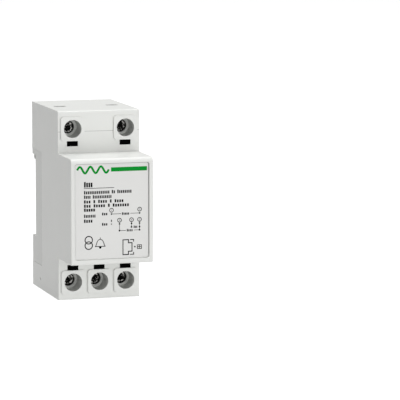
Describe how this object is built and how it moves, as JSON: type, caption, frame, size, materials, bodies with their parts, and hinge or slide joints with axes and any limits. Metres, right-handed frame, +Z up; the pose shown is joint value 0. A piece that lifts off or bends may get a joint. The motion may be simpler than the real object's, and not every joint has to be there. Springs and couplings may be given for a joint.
{
  "type": "din rail transformer",
  "caption": "Modular rail-mounted bell transformer: pale housing with stepped nose, screw terminals in square pads at top and bottom, and a sprung rail clip.",
  "frame": {"origin": "middle of the seat that lies on the rail's front face, level with the rail's middle", "axes": "+X to the right along the rail, +Y to the rear through the rail, +Z up along the housing's height"},
  "size_m": [0.0358, 0.066, 0.081],
  "materials": {
    "housing": "fine satin moulded polycarbonate, pale grey",
    "clip": "moulded polyamide, dark grey",
    "spring_steel": "bright drawn wire",
    "black_plastic": "matt black",
    "label": "satin printed foil, pale grey",
    "stripe": "satin green print",
    "lamination": "stacked electrical steel sheet, varnished",
    "former": "moulded polyamide, natural",
    "copper": "enamelled copper wire, layer wound",
    "tape": "polyester tape, yellow",
    "fuse": "sleeved can, cream",
    "lead": "insulated lead, black",
    "carrier": "moulded polyamide, grey",
    "screw_steel": "zinc plated steel, dulled",
    "cage_steel": "zinc plated steel strip",
    "tab_brass": "tinned brass strip"
  },
  "bodies": {
    "housing": {"front_cover": "housing", "rear_base": "housing", "clip_spring": "spring_steel", "terminal_marks": "black_plastic", "label_plate": "label", "label_stripe": "stripe", "core_e_laminations": "lamination", "core_i_laminations": "lamination", "coil_former": "former", "primary_winding": "copper", "secondary_winding": "copper", "primary_tape": "tape", "secondary_tape": "tape", "thermal_fuse": "fuse", "lead_top_left": "lead", "lead_bottom_left": "lead", "lead_bottom_middle": "lead", "lead_bottom_right": "lead", "terminal_carrier_top": "carrier", "terminal_carrier_bottom": "carrier", "terminal_tab_top_left": "tab_brass", "terminal_tab_top_right": "tab_brass", "terminal_tab_bottom_left": "tab_brass", "terminal_tab_bottom_middle": "tab_brass", "terminal_tab_bottom_right": "tab_brass"},
    "clip": {"rail_clip": "clip"},
    "screw_top_left": {"terminal_screw_top_left": "screw_steel"},
    "cage_top_left": {"terminal_cage_top_left": "cage_steel"},
    "screw_top_right": {"terminal_screw_top_right": "screw_steel"},
    "cage_top_right": {"terminal_cage_top_right": "cage_steel"},
    "screw_bottom_left": {"terminal_screw_bottom_left": "screw_steel"},
    "cage_bottom_left": {"terminal_cage_bottom_left": "cage_steel"},
    "screw_bottom_middle": {"terminal_screw_bottom_middle": "screw_steel"},
    "cage_bottom_middle": {"terminal_cage_bottom_middle": "cage_steel"},
    "screw_bottom_right": {"terminal_screw_bottom_right": "screw_steel"},
    "cage_bottom_right": {"terminal_cage_bottom_right": "cage_steel"}
  },
  "joints": [
    {"name": "clip_slide", "type": "slide", "parent": "housing", "child": "clip", "axis": [0, 0, -1], "range_m": [0, 0.0045], "stiffness_N_per_m": 1500, "springref_m": -0.002, "deforming": ["clip_spring"]},
    {"name": "screw_turn_top_left", "type": "hinge", "parent": "housing", "child": "screw_top_left", "pos_m": [-0.0116, -0.0303, 0.0329], "axis": [0, 1, 0], "range_deg": [0, 1800]},
    {"name": "cage_lift_top_left", "type": "slide", "parent": "housing", "child": "cage_top_left", "axis": [0, -1, 0], "range_m": [0, 0.0035]},
    {"name": "screw_turn_top_right", "type": "hinge", "parent": "housing", "child": "screw_top_right", "pos_m": [0.0116, -0.0303, 0.0329], "axis": [0, 1, 0], "range_deg": [0, 1800]},
    {"name": "cage_lift_top_right", "type": "slide", "parent": "housing", "child": "cage_top_right", "axis": [0, -1, 0], "range_m": [0, 0.0035]},
    {"name": "screw_turn_bottom_left", "type": "hinge", "parent": "housing", "child": "screw_bottom_left", "pos_m": [-0.0116, -0.0303, -0.0329], "axis": [0, 1, 0], "range_deg": [0, 1800]},
    {"name": "cage_lift_bottom_left", "type": "slide", "parent": "housing", "child": "cage_bottom_left", "axis": [0, -1, 0], "range_m": [0, 0.0035]},
    {"name": "screw_turn_bottom_middle", "type": "hinge", "parent": "housing", "child": "screw_bottom_middle", "pos_m": [0, -0.0303, -0.0329], "axis": [0, 1, 0], "range_deg": [0, 1800]},
    {"name": "cage_lift_bottom_middle", "type": "slide", "parent": "housing", "child": "cage_bottom_middle", "axis": [0, -1, 0], "range_m": [0, 0.0035]},
    {"name": "screw_turn_bottom_right", "type": "hinge", "parent": "housing", "child": "screw_bottom_right", "pos_m": [0.0116, -0.0303, -0.0329], "axis": [0, 1, 0], "range_deg": [0, 1800]},
    {"name": "cage_lift_bottom_right", "type": "slide", "parent": "housing", "child": "cage_bottom_right", "axis": [0, -1, 0], "range_m": [0, 0.0035]}
  ],
  "couplings": [
    {"joint": "screw_turn_top_left", "follows": "cage_lift_top_left", "rad_per_m": 8976},
    {"joint": "screw_turn_top_right", "follows": "cage_lift_top_right", "rad_per_m": 8976},
    {"joint": "screw_turn_bottom_left", "follows": "cage_lift_bottom_left", "rad_per_m": 8976},
    {"joint": "screw_turn_bottom_middle", "follows": "cage_lift_bottom_middle", "rad_per_m": 8976},
    {"joint": "screw_turn_bottom_right", "follows": "cage_lift_bottom_right", "rad_per_m": 8976}
  ]
}
